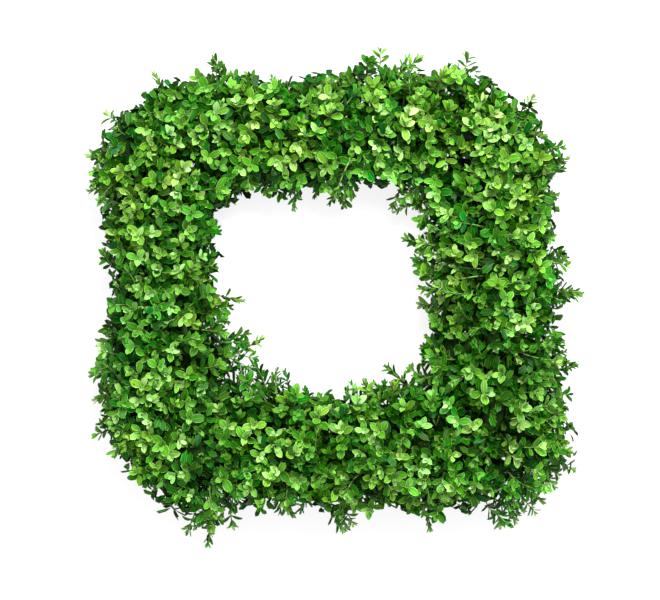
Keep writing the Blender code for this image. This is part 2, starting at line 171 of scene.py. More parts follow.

# %% [markdown]
# A boxwood leaf is waxy on top: deep green when it is old, fresh yellow-green on the new tips, with a
# pale midrib and a lighter rim. The same ramp also holds painted light: its darkest end is painted
# shade for leaves hidden deep in a bunch, and its palest end a painted sheen for leaves in the light.
# The wax gives the eye a broad soft sheen, not a sparkle. The underside has no wax, so it is matte, and
# it is paler. Each leaf carries three numbers as attributes, how young it is together with the painted
# light it gets, a tone of its own that also carries painted shade, and a hue of its own, and a UV map
# with its length along U and its width along V. A leaf could also be a flat card with a picture on it,
# but real veins and rims drawn from the UV map stay crisp from near by. The real side veins are many
# and faint, and seven low ones are all that a picture of the whole wreath can show.

# %% Boxwood leaf, both faces
# Painted light in the ramp: the dark end is painted shade, the palest stops a painted sheen.
YOUTH_AND_LIGHT_STOPS = [
    (0.0, "#053b00"), (0.3, "#1d5e02"), (0.65, "#549218"), (0.92, "#86b458"), (1.0, "#a2ca84")]
UNDER_STOPS = [(0.0, "#285a14"), (0.6, "#5e8f3a"), (1.0, "#9cc172")]
HALF_WIDTH = 0.5
RIB_HALF = 0.05
UPPER_RIB, UNDER_RIB = 0.3, 0.35
RIM_START = 0.4
RIM_STRENGTH = 0.6
VEIN_COUNT = 7
VEIN_SLANT = 1.6
VEIN_RISE = 0.3
RIB_DEPTH = 2.0
RELIEF_STRENGTH = 0.35
RELIEF = 0.25 * MM
LEAF_ATTRIBUTES = ("youth_and_light", "tone", "hue")
MATHS = "ShaderNodeMath"


def leaf_numbers(tree):
    """A leaf's youth with its painted light, its tone with painted shade, and hue, the distance from its
    midrib and the place along it.
    """
    own = [add(tree, "ShaderNodeAttribute", {"attribute_name": name})["Fac"] for name in LEAF_ATTRIBUTES]
    place = add(tree, "ShaderNodeSeparateXYZ", sockets={"Vector": add(tree, "ShaderNodeUVMap")["UV"]})
    across = add(tree, MATHS, {"operation": "SUBTRACT"}, {0: place["Y"], 1: HALF_WIDTH})["Value"]
    aside = add(tree, MATHS, {"operation": "ABSOLUTE"}, {0: across})["Value"]
    return *own, aside, place["X"]


def leaf_relief(tree, aside, along, rib):
    """The surface's normal: sin(2 pi count (along - slant aside)) for the veins, less a groove."""
    slant = add(tree, MATHS, {"operation": "MULTIPLY"}, {0: aside, 1: VEIN_SLANT})["Value"]
    place = add(tree, MATHS, {"operation": "SUBTRACT"}, {0: along, 1: slant})["Value"]
    phase = add(tree, MATHS, {"operation": "MULTIPLY"}, {0: place, 1: VEIN_COUNT * 2 * math.pi})["Value"]
    wave = add(tree, MATHS, {"operation": "SINE"}, {0: phase})["Value"]
    vein = add(tree, MATHS, {"operation": "MULTIPLY"}, {0: wave, 1: VEIN_RISE})["Value"]
    groove = add(tree, MATHS, {"operation": "MULTIPLY"}, {0: rib, 1: RIB_DEPTH})["Value"]
    height = add(tree, MATHS, {"operation": "SUBTRACT"}, {0: vein, 1: groove})["Value"]
    values = {"Strength": RELIEF_STRENGTH, "Distance": RELIEF, "Height": height}
    return add(tree, "ShaderNodeBump", sockets=values)["Normal"]


def leaf_material(name, stops, rib_strength, values):
    """One face of a leaf: colour by age with painted light, and tone with painted shade, a midrib and rim
    as pale as a younger leaf's, and veins as a low relief."""
    material, tree, shader = plain_material(name, values)
    youth_and_light, tone, hue, aside, along = leaf_numbers(tree)
    rib = add(tree, "ShaderNodeMapRange", {"clamp": True},
              {0: aside, 2: RIB_HALF, 3: rib_strength, 4: 0.0})["Result"]
    rim = add(tree, "ShaderNodeMapRange", {"clamp": True},
              {0: aside, 1: RIM_START, 2: HALF_WIDTH, 3: 0.0, 4: RIM_STRENGTH})["Result"]
    pale = add(tree, MATHS, {"operation": "MAXIMUM"}, {0: rib, 1: rim})["Value"]
    # Youth with its painted light, plus the pale midrib and rim, picks the colour.
    age_light_and_rim = add(tree, MATHS, {"operation": "ADD"}, {0: youth_and_light, 1: pale})["Value"]
    colour = add(tree, "ShaderNodeValToRGB", sockets={"Fac": age_light_and_rim}, stops=stops)["Color"]
    green = add(tree, "ShaderNodeHueSaturation", sockets={"Hue": hue, "Value": tone, "Color": colour})
    tree.links.new(green["Color"], shader.inputs["Base Color"])
    tree.links.new(leaf_relief(tree, aside, along, rib), shader.inputs["Normal"])
    return material


LEAF_UPPER = leaf_material("boxwood_leaf_upper", YOUTH_AND_LIGHT_STOPS, UPPER_RIB, {
    "Roughness": 0.42, "IOR": 1.45, "Specular IOR Level": 0.12})
LEAF_UNDER = leaf_material("boxwood_leaf_underside", UNDER_STOPS, UNDER_RIB, {
    "Roughness": 0.65, "IOR": 1.4, "Specular IOR Level": 0.1})
print("leaf materials", LEAF_UPPER.name, LEAF_UNDER.name)

# %% [markdown]
# The rest of the wreath is plainer. A colour that wanders between two or three shades, with noise of
# the size of the real mottling, is enough for stems, bark and paint, and the noise can lift the bark
# too. It reads Object coordinates, so that it stays on the piece from every side.

# %% Young stems, shaded twigs, bark, wire and floor
NOISE_DETAIL = 4.0


def mottled_material(name, stops, grain, values, relief=0.0):
    """A material whose colour wanders with noise of a grain in mm, with an optional relief in mm."""
    material, tree, shader = plain_material(name, values)
    where = add(tree, "ShaderNodeTexCoord")["Object"]
    noise = add(tree, "ShaderNodeTexNoise", sockets={
        "Scale": 1 / (grain * MM), "Detail": NOISE_DETAIL, "Vector": where})["Fac"]
    colour = add(tree, "ShaderNodeValToRGB", sockets={"Fac": noise}, stops=stops)["Color"]
    tree.links.new(colour, shader.inputs["Base Color"])
    if relief:
        bump = add(tree, "ShaderNodeBump", sockets={"Distance": relief * MM, "Height": noise})
        tree.links.new(bump["Normal"], shader.inputs["Normal"])
    return material


# Fresh green bark, smooth and a little glossy: it draws thin light lines between the leaves.
GREEN_STEM = mottled_material(
    "boxwood_green_stem", [(0.35, "#3f5e20"), (0.65, "#739444")], 6, {"Roughness": 0.5})
# Crossing twigs and old leaves in deep shade: nearly black, matte, with a rough relief, so that the
# eye sees depth between the shoots and no surface.
SHADED_TWIG = mottled_material(
    "boxwood_shaded_twigs", [(0.4, "#061a02"), (0.52, "#0e2e06"), (0.62, "#1c1c0c")], 5,
    {"Roughness": 0.9, "Specular IOR Level": 0.1}, 1.5)
# Dry peeling bark: matte brown flecks a few millimetres long.
VINE_BARK = mottled_material(
    "dry_vine_bark", [(0.35, "#2d1e14"), (0.55, "#5a4130"), (0.7, "#806047")], 4,
    {"Roughness": 0.85}, 0.8)
# Enamel baked on iron wire: dark green with a narrow shine along it.
GREEN_WIRE = mottled_material(
    "green_enamelled_wire", [(0.4, "#15301a"), (0.6, "#21442a")], 8,
    {"Roughness": 0.4, "Metallic": 0.2})
# Opal glass lit from below: an even white with a faint shadow.
STUDIO_FLOOR = plain_material("white_light_table", {
    "Base Color": (0.2, 0.2, 0.2, 1), "Roughness": 0.9,
    "Emission Color": (1, 1, 1, 1), "Emission Strength": 0.8})[0]
print("five more materials")

# %% [markdown]
# The floor is stage, not part of the object. It is a wide square at the height that the
# wreath lies on, a little below the vine's flat spots so that the two never share a plane.

# %% The floor
FLOOR_HALF = 12.0
FLOOR_DROP = 0.2 * MM


def new_piece(name, points, faces, materials):
    """A mesh object at the origin from arrays of points and faces."""
    mesh = bpy.data.meshes.new(name)
    mesh.from_pydata(points, [], faces)
    for material in materials:
        mesh.materials.append(material)
    piece = bpy.data.objects.new(name, mesh)
    bpy.context.scene.collection.objects.link(piece)
    return piece


corners = np.array(((-1, -1, 0), (1, -1, 0), (1, 1, 0), (-1, 1, 0))) * FLOOR_HALF - UP * FLOOR_DROP
floor = new_piece("studio_floor", corners, [(0, 1, 2, 3)], [STUDIO_FLOOR])
print("floor", 2 * FLOOR_HALF, "m wide")

# %% [markdown]
# Everything grows from the ring's centre line, a rectangle with round corners. For any point seen
# from above, the nearest point of that line and the direction away from it come from the usual
# formula for a rounded box, worked out for a whole array at once.

# %% The ring's centre line
RING_HALF = np.array((187.0, 179.0)) * MM
RING_CORNER = 50 * MM
RING_HEIGHT = 14 * MM
vine_low, vine_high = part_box("vine_ring")
RING_MIDDLE = np.array(vine_low + vine_high)[:2] / 2


def unit(vectors):
    """Vectors divided by their length."""
    return vectors / np.maximum(np.linalg.norm(vectors, axis=-1, keepdims=True), 1e-12)


def from_line(points):
    """(nearest points of the centre line, level directions away from it, signed distances outwards).

    With q = |p - middle| - (half size - corner), the distance is |max(q, 0)| + min(max(q), 0) - corner.
    """
    offset = points[:, :2] - RING_MIDDLE
    beyond = np.abs(offset) - (RING_HALF - RING_CORNER)
    outside = np.maximum(beyond, 0)
    distance = np.linalg.norm(outside, axis=1) + np.minimum(beyond.max(axis=1), 0) - RING_CORNER
    along_axis = (beyond == beyond.max(axis=1, keepdims=True)).astype(float)
    corner = (beyond > 0).all(axis=1)[:, None]
    away = unit(np.where(corner, outside, along_axis)) * np.sign(offset)
    nearest = points[:, :2] - away * distance[:, None]
    return nearest, away, distance


def loop_points(shares, line=0.0):
    """Points, directions along and directions out on a line parallel to the centre line, at shares of
    its length from the foot of the right side, anticlockwise: four straights and four quarter turns."""
    corner = RING_CORNER + line
    sides = 2 * (RING_HALF[[1, 0, 1, 0]] - RING_CORNER)
    lengths = np.column_stack((sides, np.full(4, corner * math.pi / 2))).ravel()
    ends = np.cumsum(lengths)
    distance = np.asarray(shares) % 1 * ends[-1]
    stretch = np.searchsorted(ends, distance, side="right")
    rest = distance - (ends - lengths)[stretch]
    turn = stretch // 2 * math.pi / 2 + np.where(stretch % 2, rest / corner, 0)
    out = np.column_stack((np.cos(turn), np.sin(turn)))
    along = np.column_stack((-out[:, 1], out[:, 0]))
    centres = RING_MIDDLE + (RING_HALF - RING_CORNER) * np.array(((1, 1), (-1, 1), (-1, -1), (1, -1)))
    straight = out * corner + along * (rest - sides[stretch // 2])[:, None]
    points = centres[stretch // 2] + np.where((stretch % 2)[:, None], out * corner, straight)
    return points, along, out


LINE_LENGTH = 2 * (2 * (RING_HALF - RING_CORNER)).sum() + 2 * math.pi * RING_CORNER
print("centre line", round(LINE_LENGTH / MM), "mm long, middle at", np.round(RING_MIDDLE / MM, 1), "mm")

# %% [markdown]
# The base of such a wreath is a hoop of dry vines, pinched where a wire goes round it, twice on each
# side. Both vines and wire are tubes along closed routes. A curve with a bevel would do, but worked out
# as rings of points a tube can swell and narrow as it likes, and it is a closed mesh at once.

# %% The hoop, and tubes round it
CREST = 16 * MM
WAIST = 10.8 * MM
WAIST_HALF = 3 * MM
WAIST_RUN = 10 * MM
BINDING_SHARES = (0.25, 0.75)


def binding_places():
    """Shares of the centre line's length where the wire goes round: two on each straight side."""
    sides = 2 * (RING_HALF[[1, 0, 1, 0]] - RING_CORNER)
    quarters = sides + RING_CORNER * math.pi / 2
    starts = np.cumsum(quarters) - quarters
    return ((starts[:, None] + sides[:, None] * BINDING_SHARES) / LINE_LENGTH).ravel()


def hoop_radius(shares):
    """The hoop's radius: its crest, eased down to its waist within WAIST_RUN of each binding."""
    gaps = np.abs((shares[:, None] - binding_places() + 0.5) % 1 - 0.5).min(axis=1) * LINE_LENGTH
    ease = np.clip((gaps - WAIST_HALF) / (WAIST_RUN - WAIST_HALF), 0, 1)
    return WAIST + (CREST - WAIST) * ease * ease * (3 - 2 * ease)


def tube_quads(rings, sides, closed):
    """Quads between rings of points, joined end to end when closed."""
    ring = np.arange(rings if closed else rings - 1)[:, None] * sides
    side = np.arange(sides)[None, :]
    following = (side + 1) % sides
    count = rings * sides
    ahead = ring + sides
    quads = np.stack((ring + side, ring + following, ahead + following, ahead + side), axis=-1)
    return quads.reshape(-1, 4) % count


def round_hoop(shares, angles, radius):
    """Points round the hoop and the arms that lead to them: the centre line + radius (out cos angle +
    up sin angle)."""
    points, _, out = loop_points(shares)
    arm = np.pad(out, ((0, 0), (0, 1))) * np.cos(angles)[:, None] + UP * np.sin(angles)[:, None]
    return np.column_stack((points, np.full(len(points), RING_HEIGHT))) + arm * radius[:, None], arm


def closed_tube(centre, arm, sides, size):
    """Rings of points carried along a closed route: centre + size (across cos turn + arm sin turn), with
    across and arm square to the way from one neighbour to the next."""
    forward = unit(np.roll(centre, -1, axis=0) - np.roll(centre, 1, axis=0))
    across = unit(np.cross(forward, arm))
    arm = np.cross(across, forward)
    turn = 2 * math.pi * np.arange(sides) / sides
    spokes = across[:, None] * np.cos(turn)[None, :, None] + arm[:, None] * np.sin(turn)[None, :, None]
    return centre[:, None] + spokes * size


print(len(binding_places()), "bindings, each", 2 * WAIST_RUN / MM, "mm long with its slopes")

# %% [markdown]
# Five strands wind three times round the hoop, so each closes on itself, and thinner runners lie in the
# grooves between them. A strand is a circle carried along a helix that rides on the centre line, and
# both circle and helix shrink where the wire pinches them. The section wobbles a little, as a stem with
# knots does, and the undersides are cut level, so that the wreath lies on small flat spots.

# %% The vine ring's strands
STRANDS = 5
TURNS = 3
STRAND_SHARE = 0.41
RUNNER_SHARE = 0.16
STRAND_WOBBLE, RUNNER_WOBBLE = 0.08, 0.12
KNOTS_ROUND, BULGES_ROUND = (30, 50), (9, 17)
STRAND_STEPS = 360
STRAND_SIDES = 10
VINE_SEED = 3


def strand(phase, share, wobble, draw):
    """One vine: a circle of a share of the hoop's radius, carried along its helix round the hoop."""
    shares = np.arange(STRAND_STEPS) / STRAND_STEPS
    radius = hoop_radius(shares)
    centre, arm = round_hoop(shares, phase + 2 * math.pi * TURNS * shares, radius * (1 - share))
    knots = 1 + wobble * np.sin(2 * math.pi * (shares * draw.integers(*KNOTS_ROUND) + draw.random()))
    bulge = 1 + wobble * np.sin(2 * math.pi * (shares * draw.integers(*BULGES_ROUND) + draw.random()))
    size = radius * share * np.minimum(knots * bulge, 1.0)
    surface = closed_tube(centre, arm, STRAND_SIDES, size[:, None, None])
    surface[..., 2] = np.maximum(surface[..., 2], 0)
    return surface.reshape(-1, 3)


def vine_strands():
    """All strands and runners as one mesh."""
    draw = np.random.default_rng(VINE_SEED)
    phases = 2 * math.pi * np.arange(STRANDS) / STRANDS
    tubes = [strand(phase, STRAND_SHARE, STRAND_WOBBLE, draw) for phase in phases]
    tubes += [strand(phase + math.pi / STRANDS, RUNNER_SHARE, RUNNER_WOBBLE, draw) for phase in phases]
    quads = tube_quads(STRAND_STEPS, STRAND_SIDES, closed=True)
    faces = np.concatenate([quads + k * len(tubes[0]) for k in range(len(tubes))])
    piece = new_piece("vine_strands", np.concatenate(tubes), faces.tolist(), [VINE_BARK])
    piece.data.shade_smooth()
    return piece


vine = vine_strands()
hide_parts("vine_ring")
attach(vine, "root")
print("vine", len(vine.data.polygons), "faces")

# %% [markdown]
# Florist's wire holds the vines. It runs along the hoop's shoulder and goes once round it at each
# binding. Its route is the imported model's, with the corners rounded by a curve that passes through
# all its stations, and its section is a true circle.

# %% The binding wire
WIRE_RADIUS = 0.8 * MM
WIRE_GAP = 0.35 * MM
WIRE_SHOULDER = math.radians(119)
WIRE_LEAD = 4 * MM
LOOP_STATIONS = 12
RUN_STATIONS = 12
WIRE_SIDES = 8
WIRE_FINE = 4


def wire_stations():
    """Distance along the centre line, angle round the hoop and distance from its middle."""
    run_radius = CREST + WIRE_GAP + WIRE_RADIUS
    loop_radius = WAIST + WIRE_GAP + WIRE_RADIUS
    turns = np.arange(LOOP_STATIONS + 1) / LOOP_STATIONS
    rows = []
    places = binding_places() * LINE_LENGTH
    for place, following in zip(places, np.append(places[1:], places[0] + LINE_LENGTH)):
        along = place + (turns - 0.5) * WIRE_LEAD
        angle = WIRE_SHOULDER + 2 * math.pi * turns
        rows.append(np.column_stack((along, angle, np.full(len(turns), loop_radius))))
        run = np.linspace(place + WAIST_RUN, following - WAIST_RUN, RUN_STATIONS)
        rows.append(np.column_stack((run, np.full(len(run), angle[-1]), np.full(len(run), run_radius))))
    return np.concatenate(rows)


def smooth_loop(points, fine):
    """A closed curve through all the points: the cubic whose slope at each is half its neighbours'
    difference, sampled `fine` times between one point and the next."""
    before, after, later = np.roll(points, 1, 0), np.roll(points, -1, 0), np.roll(points, -2, 0)
    t = (np.arange(fine) / fine)[None, :, None]
    a, b, c, d = (p[:, None] for p in (before, points, after, later))
    curve = b + 0.5 * t * (c - a + t * (2 * a - 5 * b + 4 * c - d + t * (3 * (b - c) + d - a)))
    return curve.reshape(-1, points.shape[1])


def binding_wire():
    """The wire as one closed tube along its smooth route."""
    distance, angle, radius = wire_stations().T
    centre, arm = round_hoop(distance / LINE_LENGTH, angle, radius)
    route = smooth_loop(centre, WIRE_FINE)
    surface = closed_tube(route, unit(smooth_loop(arm, WIRE_FINE)), WIRE_SIDES, WIRE_RADIUS)
    quads = tube_quads(len(route), WIRE_SIDES, closed=True)
    piece = new_piece("wire_binding", surface.reshape(-1, 3), quads.tolist(), [GREEN_WIRE])
    piece.data.shade_smooth()
    return piece


wire = binding_wire()
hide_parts("binding_wire")
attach(wire, "root")
print("wire", len(wire.data.polygons), "faces")

# %% [markdown]
# Now the foliage. A packed bunch is a heart with a few large leaves, and it says where its twigs
# reach. Points are scattered evenly over its surface, from which the twigs' tips are picked below. The
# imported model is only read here: its points and triangles become arrays.

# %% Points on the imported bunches
SCATTER = 420


def node_mesh(name):
    """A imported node's points and triangles as arrays."""
    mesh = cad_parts[name].data
    mesh.calc_loop_triangles()
    points = np.empty(len(mesh.vertices) * 3, np.float32)
    mesh.vertices.foreach_get("co", points)
    triangles = np.empty(len(mesh.loop_triangles) * 3, np.int32)
    mesh.loop_triangles.foreach_get("vertices", triangles)
    return points.reshape(-1, 3).astype(float), triangles.reshape(-1, 3)


def scatter(name, draw):
    """Points spread evenly over a node: a triangle is drawn by its area and a place in it by two
    random numbers r and s, as a + (1 - sqrt r) (b - a) + s sqrt r (c - a)."""
    points, triangles = node_mesh(name)
    a, b, c = (points[triangles[:, k]] for k in range(3))
    area = np.linalg.norm(np.cross(b - a, c - a), axis=1)
    chosen = draw.choice(len(triangles), SCATTER, p=area / area.sum())
    root = np.sqrt(draw.random(SCATTER))[:, None]
    share = draw.random(SCATTER)[:, None]
    return a[chosen] * (1 - root) + b[chosen] * root * (1 - share) + c[chosen] * root * share


print(sum(len(node_mesh(name)[1]) for name in BUNCHES), "triangles in the packed bunches")

# %% [markdown]
# Points that lie too close to one further out are dropped, which leaves one place for each twig's tip.
# The twig points away from the vine. No wreath is filled quite evenly, so two lists of spots give it
# its gaps, placed as the camera sees them, in mm. Over a dark gap the twigs end deep down, and their
# leaves are darkened with painted shade. Over a bay, which is a notch in the outline or an opening, no
# leaf is placed, and each bay has its radius as a third number.

# %% Where the twigs end
SEED = 20
TIP_SPACING = 14 * MM
LOW_SPACING = 19 * MM
DEPTH_WEIGHT = 0.5
TIP_BACK = 5 * MM
LOW_HEIGHT = 16 * MM
LOWEST_TIP = 9 * MM
LOW_SLOPE = -0.1
DARK_GAPS = np.array((
    (152, -166), (187, -155), (111, -163), (169, 25),
    (-4, 182), (43, 121), (-126, -104), (-135, -192))) * MM
GAP_RADIUS = 13 * MM
GAP_DEPTH = 30 * MM
# How dark the leaves over a dark gap are painted, as painted shade.
GAP_PAINTED_SHADE = 0.35
BAYS = np.array((
    (-189, -228, 6), (-91, -245, 6), (61, -127, 6), (68, 118, 8), (-127, 1, 7),
    (249, 88, 5), (234, 171, 5), (10, -114, 6), (-97, -78, 6))) * MM


def away_from_vine(points):
    """Directions from the hoop's middle to points, and the distances."""
    nearest, _, _ = from_line(points)
    arm = points - np.column_stack((nearest, np.full(len(points), RING_HEIGHT)))
    return unit(arm), np.linalg.norm(arm, axis=1)


def seen_flat(points):
    """Where the camera sees points on the level plane that it focuses on: their offset from the view's
    centre times (camera height - focus height) / (camera height - own height)."""
    scale = (CAMERA_HEIGHT - FOCUS_HEIGHT) / (CAMERA_HEIGHT - points[:, 2:])
    return VIEW_CENTRE + (points[:, :2] - VIEW_CENTRE) * scale


def near_gap(points):
    """Which points lie over one of the places where the dark inside shows between the bunches."""
    apart = np.linalg.norm(seen_flat(points)[:, None] - DARK_GAPS, axis=2)
    return apart.min(axis=1) < GAP_RADIUS


def in_bay(points):
    """Which points lie over one of the bays of the outline or small openings, given as x, y, radius."""
    apart = np.linalg.norm(seen_flat(points)[:, None] - BAYS[:, :2], axis=2)
    return (apart < BAYS[:, 2]).any(axis=1)


def twig_tips(draw):
    """(tips, directions, number of the bunch), thinned from the outermost inwards. Two tips may lie
    closer along the twig than across it, so the distance counts its part along the twig by half."""
    cloud = np.concatenate([scatter(name, draw) for name in BUNCHES])
    owner = np.repeat(np.arange(len(BUNCHES)), SCATTER)
    arm, reach = away_from_vine(cloud)
    low = (cloud[:, 2] < LOW_HEIGHT) | (arm[:, 2] < LOW_SLOPE)
    spacing = np.where(low, LOW_SPACING, TIP_SPACING)
    kept = []
    for i in np.argsort(-reach):
        gap = cloud[kept] - cloud[i]
        along = gap @ arm[i]
        apart = (gap * gap).sum(axis=1) - (1 - DEPTH_WEIGHT ** 2) * along * along
        if apart.min(initial=1) > spacing[i] ** 2:
            kept.append(i)
    back = np.where(near_gap(cloud[kept]), GAP_DEPTH, TIP_BACK)[:, None]
    tips = cloud[kept] - arm[kept] * back
    tips[:, 2] = np.maximum(tips[:, 2], LOWEST_TIP)
    return tips, arm[kept], owner[kept]


draw = np.random.default_rng(SEED)
TIPS, TIP_ARMS, TIP_OWNER = twig_tips(draw)
tips_each = np.bincount(TIP_OWNER)
print(len(TIPS), "twig tips,", tips_each.min(), "to", tips_each.max(), "in a bunch")

# %% [markdown]
# A leaf is a thin closed blade. Seen flat it is a spoon shape, widest past its middle, with a round
# tip. Its two halves rise from the midrib like a shallow V, and its length curves. Few stations along
# it, each with a left rim, an upper rib, a right rim and a lower rib, and a point at each end, make a
# leaf of some twenty faces, few enough for twenty thousand leaves. Old leaves deep in a bunch get two.

# %% One leaf, and all leaves at once
PLAIN_STATIONS = ((0.35, 0.8), (0.8, 0.9))
BLADE = 0.5 * MM


def leaf_grid(stations):
    """(along, across, below) shares of a leaf's points: base, four points at each station, tip."""
    place, half = np.array(stations).T
    along = np.concatenate(([0], np.repeat(place, 4), [1]))
    across = np.concatenate(([0], (half[:, None] * (-1, 0, 1, 0)).ravel(), [0]))
    below = np.concatenate(([0], (half[:, None] * (0, 0, 0, 1)).ravel(), [0]))
    return along, across, below


def leaf_faces(stations):
    """The upper faces and the lower faces of one leaf: fans at its ends and quads in between."""
    tip = 4 * len(stations) + 1
    last = tip - 4
    upper = [(0, 3, 2), (0, 2, 1), (tip, last, last + 1), (tip, last + 1, last + 2)]
    lower = [(0, 4, 3), (0, 1, 4), (tip, last + 3, last), (tip, last + 2, last + 3)]
    for s in range(1, last, 4):
        upper += [(s, s + 1, s + 5, s + 4), (s + 1, s + 2, s + 6, s + 5)]
        lower += [(s + 3, s, s + 4, s + 7), (s + 2, s + 3, s + 7, s + 6)]
    return upper, lower


def leaf_surfaces(stations, base, forward, face, length, width, fold, curl):
    """Points of many leaves. With u along and v across: base + forward length (u - curl^2 u^3 / 3)
    + side width v / 2 + face (fold width |v| / 2 - length curl u^2 / 2 - blade below)."""
    along, across, below = leaf_grid(stations)
    side = np.cross(forward, face)
    run = length[:, None] * (along - curl[:, None] ** 2 * along ** 3 / 3)
    rise = fold[:, None] * width[:, None] * np.abs(across) / 2
    rise = rise - length[:, None] * curl[:, None] * along ** 2 / 2 - BLADE * below
    return (base[:, None] + forward[:, None] * run[..., None] + face[:, None] * rise[..., None]
            + side[:, None] * (width[:, None] * across / 2)[..., None])


print(sum(map(len, leaf_faces(PLAIN_STATIONS))), "faces in a plain leaf")

# %% [markdown]
# Boxwood carries its leaves in pairs, shorter and more upright towards the tip. Shoots that look at the
# sky end in a rosette of broad leaves, painted bright with painted light. A spray is a thinner shoot that
# lies sideways, with slim pointed leaves along it like a feather. Leaves further down the shoot are older,
# and darker still with painted shade. A habit lists, from the tip down, each pair's distance from the tip,
# its leaves' length and angle to the shoot, how young they are and their tone, which falls down the shoot
# as painted shade. A shoot itself is an arc with a bow to one side.

# %% Habits of the shoots
FINE_STATIONS = ((0.14, 0.45), (0.42, 0.94), (0.70, 0.98), (0.91, 0.55))
SLIM_STATIONS = ((0.2, 0.6), (0.5, 1.0), (0.82, 0.72))
# Down each habit the youth and the tone fall: the leaves' age, and painted shade deeper in the bunch.
ROSETTE = {
    "stations": FINE_STATIONS,
    "gaps": np.array((0.5, 3.0, 7.0, 12.0, 18.0, 24.0)) * MM,
    "lengths": np.array((8.5, 12.5, 15.5, 16.0, 15.0, 14.0)) * MM,
    "angles": np.radians((24, 40, 54, 62, 70, 76)),
    "youth_and_light": np.array((0.86, 0.8, 0.62, 0.4, 0.2, 0.08)),
    "tones": np.array((1.0, 1.0, 0.98, 0.88, 0.75, 0.65)),
}
SPRAY = {
    "stations": SLIM_STATIONS,
    "gaps": np.array((0.5, 4.0, 8.5, 13.5, 19.0, 25.0, 31.0)) * MM,
    "lengths": np.array((8.5, 11.5, 13.5, 14.5, 15.0, 15.0, 15.0)) * MM,
    "angles": np.radians((16, 26, 34, 40, 46, 52, 58)),
    "youth_and_light": np.array((0.8, 0.7, 0.56, 0.42, 0.28, 0.16, 0.08)),
    "tones": np.array((1.0, 1.0, 1.0, 0.92, 0.82, 0.74, 0.65)),
}
SHOOT_LENGTH = 32 * MM
SHOOT_LENGTHS = (0.9, 1.2)
SHOOT_BOW = 4 * MM
ARC_STEP = 0.01
ROSETTE_STRAY, SPRAY_STRAY = 0.35, 0.6


def bend(starts, ends, bows, t):
    """Points of arcs from starts to ends that bow aside by bows: s + t (e - s) + 4 t (1 - t) b."""
    t = np.asarray(t)[..., None]
    return starts + t * (ends - starts) + 4 * t * (1 - t) * bows


def arc_axis(starts, ends, bows, t):
    """Directions along arcs at t, from a little before it to a little after."""
    return unit(bend(starts, ends, bows, t + ARC_STEP) - bend(starts, ends, bows, t - ARC_STEP))


def wander(places, fineness, waves, draw):
    """Smooth noise within -1 and 1: the mean of sin(place . wave + phase) over random waves."""
    return np.sin(places @ draw.normal(0, fineness, (3, waves)) + draw.uniform(0, 6, waves)).mean(axis=1)


def foot(tips, heading, length):
    """Where shoots start, a length behind their tips and never below the vine's middle."""
    starts = tips - heading * length[:, None]
    starts[:, 2] = np.maximum(starts[:, 2], RING_HEIGHT)
    return starts


def shoot_arcs(tips, arms, stray, length, draw):
    """Start, end and bow of each shoot. It strays sideways from the direction away from the
    vine, never back towards it, and sags."""
    noise = draw.normal(0, 1, tips.shape) * stray[:, None]
    inward = np.minimum((noise * arms).sum(axis=1, keepdims=True), 0)
    heading = unit(arms + noise - inward * arms)
    aside = unit(np.cross(heading, draw.normal(0, 1, tips.shape)))
    bows = aside * SHOOT_BOW * draw.uniform(-1, 1, (len(tips), 1))
    sag = UP * SHOOT_BOW * np.linalg.norm(heading[:, :2], axis=1, keepdims=True)
    return foot(tips, heading, length), tips, bows - sag


print(len(ROSETTE["gaps"]), "pairs of leaves on a rosette,", len(SPRAY["gaps"]), "on a spray")

# %% [markdown]
# The two leaves of a pair stand opposite, and each pair is turned a quarter from the last, so that none
# shades the one below it. A leaf also turns its upper face to the light. Chance enters as small ranges
# round each of these, because no two leaves are alike. All leaves of all shoots are worked out in one
# go, as arrays with a row for each leaf.

# %% The leaves of a shoot
BROAD, SLIM = 0.51, 0.38
LOWEST_PAIR = 0.05
AZIMUTH_SPREAD, TILT_SPREAD = 0.2, 0.15
SKY_TWIST = 0.6
LEAF_LENGTHS, LEAF_WIDTHS = (0.86, 1.12), (0.88, 1.12)
FOLDS = (0.15, 0.65)
CURLS = (-0.2, 0.6)
LEAF_TONES = (0.68, 1.28)
YOUTH_SPREAD = 0.08
LEAF_HUES = 0.004


def leaf_directions(angles, axis, draw):
    """Where each leaf points and where its upper face looks. The two of a pair stand opposite, each
    pair a quarter turn from the last, at its angle to the shoot, and all turn a little to the sky."""
    shoots, leaves = axis.shape[:2]
    pair = np.repeat(np.arange(leaves // 2), 2)
    helper = unit(np.cross(axis, draw.normal(0, 1, (shoots, 1, 3))))
    other = np.cross(axis, helper)
    azimuth = draw.uniform(0, math.pi, (shoots, 1)) + pair * math.pi / 2
    azimuth = azimuth + np.tile((0, math.pi), leaves // 2)
    azimuth = azimuth + draw.normal(0, AZIMUTH_SPREAD, azimuth.shape)
    radial = helper * np.cos(azimuth)[..., None] + other * np.sin(azimuth)[..., None]
    tilt = (angles[pair] + draw.normal(0, TILT_SPREAD, azimuth.shape))[..., None]
    forward = axis * np.cos(tilt) + radial * np.sin(tilt)
    face = axis * np.sin(tilt) - radial * np.cos(tilt)
    return forward, unit(face + SKY_TWIST * (UP - forward * forward[..., 2:]))


